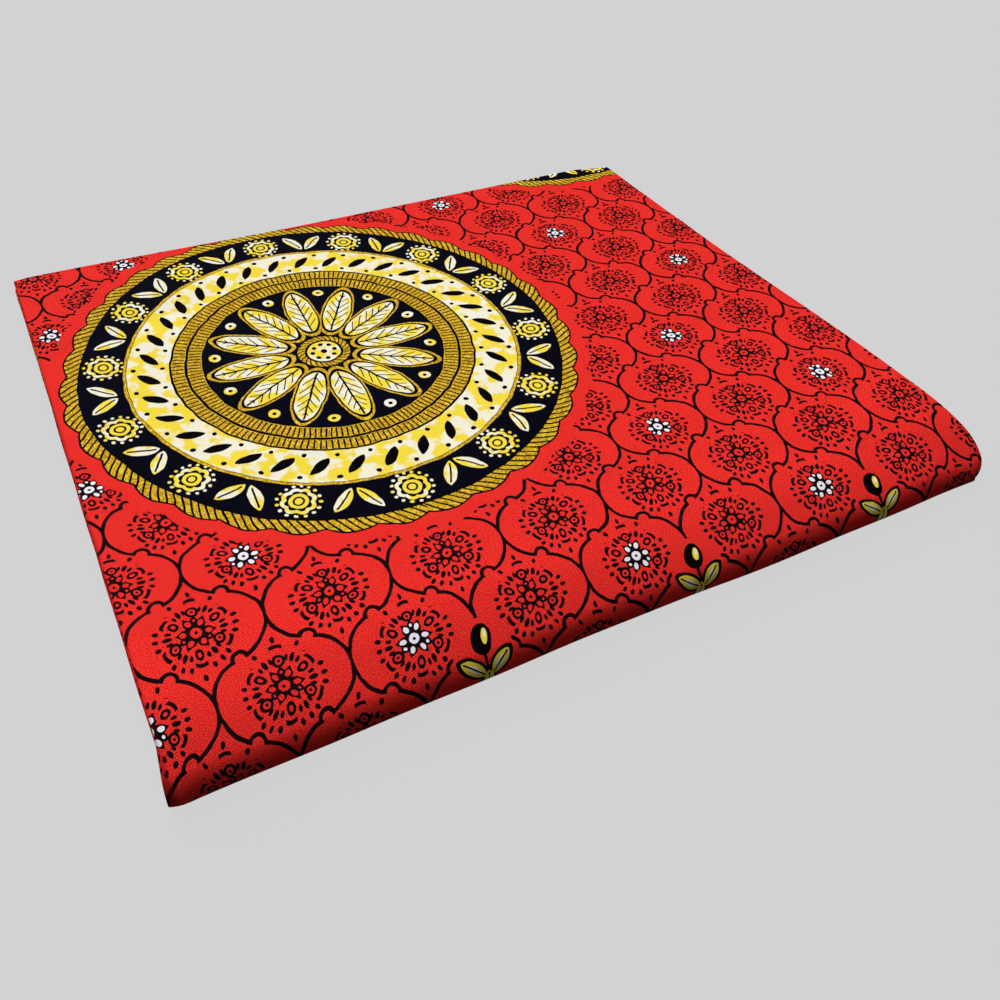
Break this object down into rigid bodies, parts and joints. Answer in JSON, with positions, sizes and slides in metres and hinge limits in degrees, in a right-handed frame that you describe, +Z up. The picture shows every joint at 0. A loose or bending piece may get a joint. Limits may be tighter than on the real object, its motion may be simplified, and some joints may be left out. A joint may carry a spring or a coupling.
{
  "type": "folded wax print fabric",
  "caption": "Length of printed cotton folded in half and rolled flat into a thin rectangular stack with a rounded front fold and layered ends.",
  "frame": {"origin": "middle of the underside, on the surface that the folded cloth lies on", "axes": "+Z up through the layers, +X to the right along the front fold towards the long fold, +Y to the back, where the cut end lies"},
  "size_m": [0.605, 0.522, 0.0242],
  "materials": {
    "printed_cloth": "smooth printed plain-weave cotton with a faint waxy sheen",
    "cloth_edges": "stacked ply edges and folds of the same printed cotton"
  },
  "bodies": {
    "root": {"outer_leaf": "printed_cloth", "inner_layers": "cloth_edges"}
  },
  "joints": []
}
